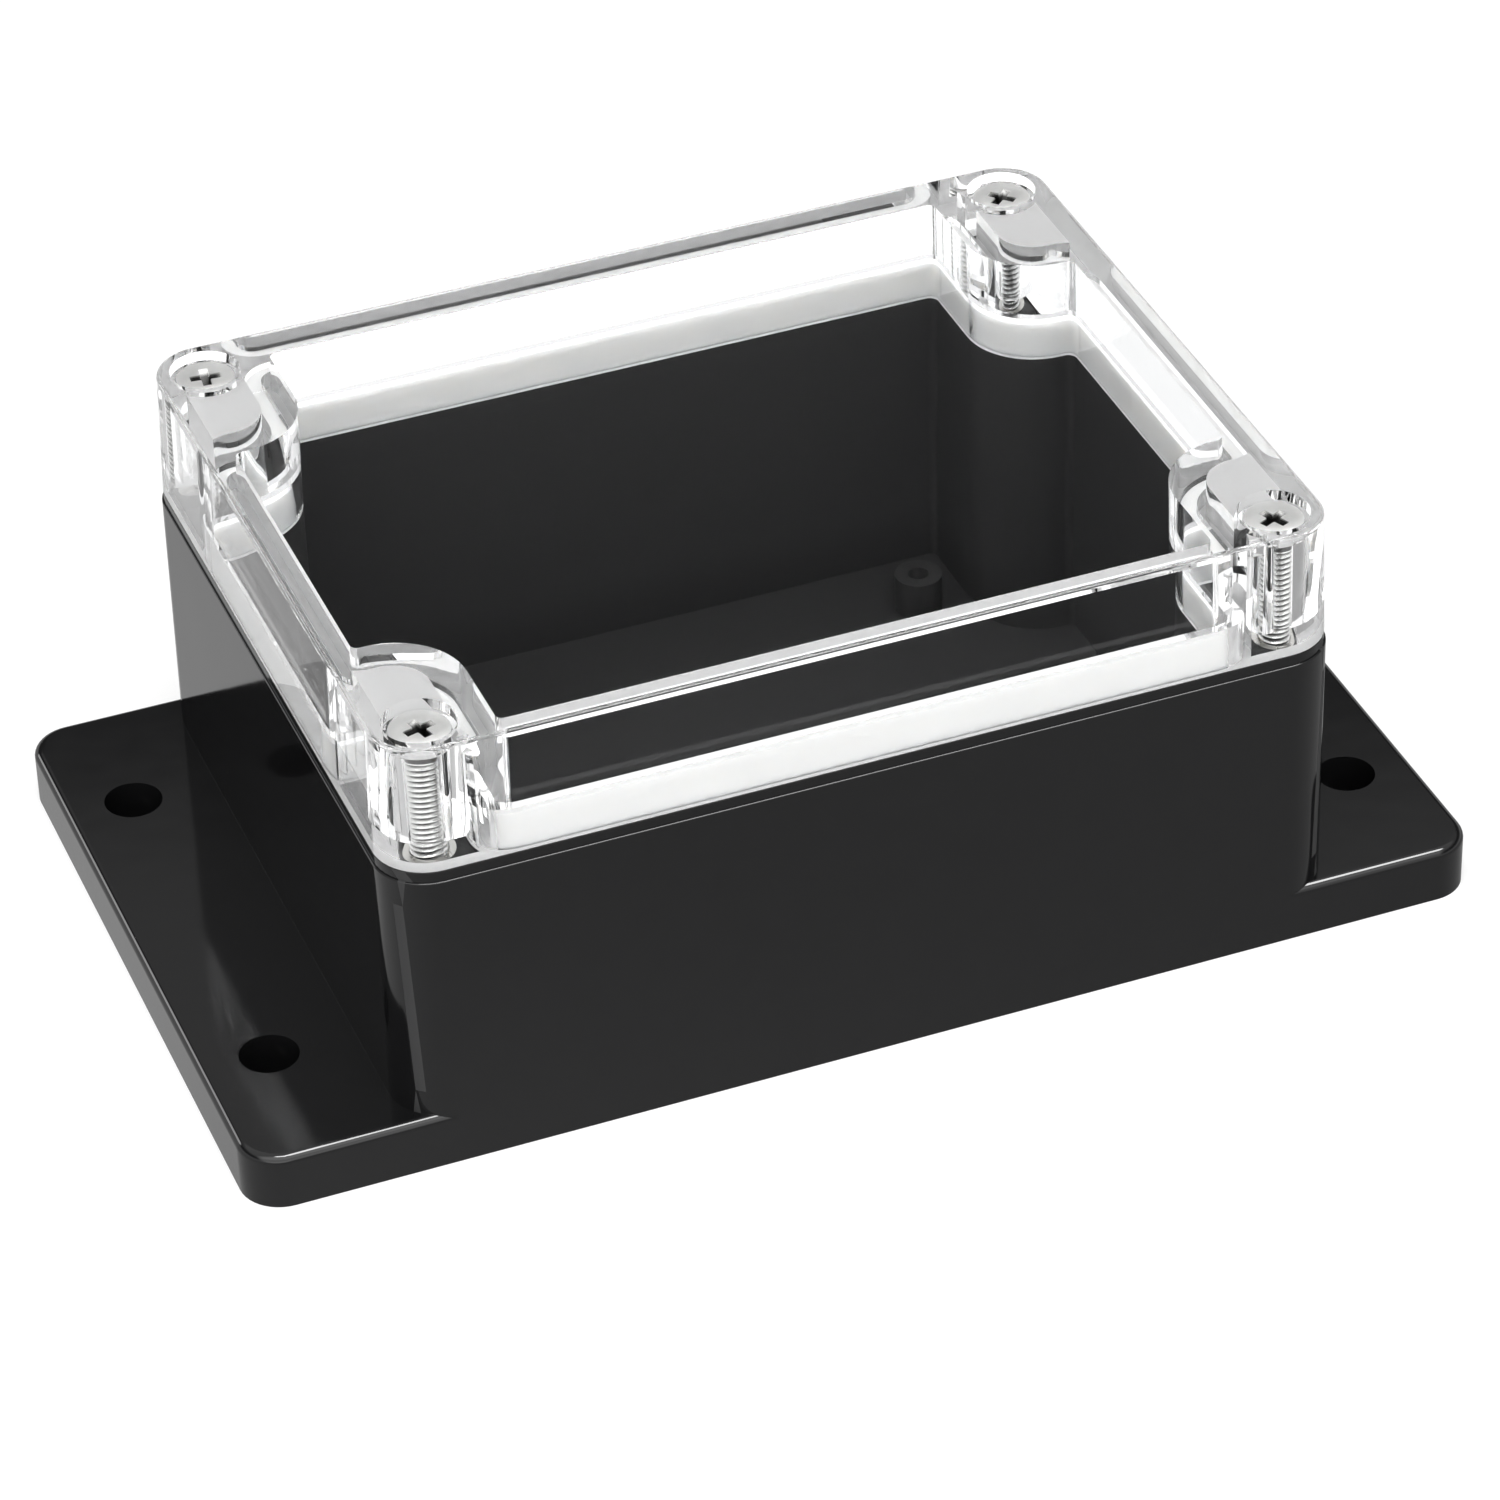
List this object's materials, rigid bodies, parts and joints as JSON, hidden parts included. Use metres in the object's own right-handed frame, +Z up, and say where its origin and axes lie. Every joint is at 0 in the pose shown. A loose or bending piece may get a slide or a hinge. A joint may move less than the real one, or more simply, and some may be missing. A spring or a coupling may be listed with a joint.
{
  "type": "plastic project box",
  "caption": "Wall-mount plastic box: black flanged tub, clear lid with a seal in its groove, held by recessed cross-head screws in threaded inserts.",
  "frame": {"origin": "middle of the flat underside", "axes": "+X along the length, flange to flange; +Y to the back; +Z up through the lid"},
  "size_m": [0.1522, 0.09, 0.0567],
  "materials": {
    "housing": "black moulded ABS, glossy",
    "lid": "clear polycarbonate, glossy",
    "seal": "white silicone",
    "insert": "brass, nickel plated",
    "screw": "bright nickel plate"
  },
  "bodies": {
    "base": {"base_housing": "housing", "insert_front_left": "insert", "insert_front_right": "insert", "insert_back_left": "insert", "insert_back_right": "insert"},
    "lid": {"clear_lid": "lid", "lid_seal": "seal"},
    "screw_front_left": {"lid_screw_front_left": "screw"},
    "screw_front_right": {"lid_screw_front_right": "screw"},
    "screw_back_left": {"lid_screw_back_left": "screw"},
    "screw_back_right": {"lid_screw_back_right": "screw"}
  },
  "joints": [
    {"name": "lid_lift", "type": "slide", "parent": "base", "child": "lid", "axis": [0, 0, 1], "range_m": [0, 0.06]},
    {"name": "screw_front_left_out", "type": "slide", "parent": "lid", "child": "screw_front_left", "axis": [0, 0, 1], "range_m": [0, 0.0105]},
    {"name": "screw_front_right_out", "type": "slide", "parent": "lid", "child": "screw_front_right", "axis": [0, 0, 1], "range_m": [0, 0.0105]},
    {"name": "screw_back_left_out", "type": "slide", "parent": "lid", "child": "screw_back_left", "axis": [0, 0, 1], "range_m": [0, 0.0105]},
    {"name": "screw_back_right_out", "type": "slide", "parent": "lid", "child": "screw_back_right", "axis": [0, 0, 1], "range_m": [0, 0.0105]}
  ]
}
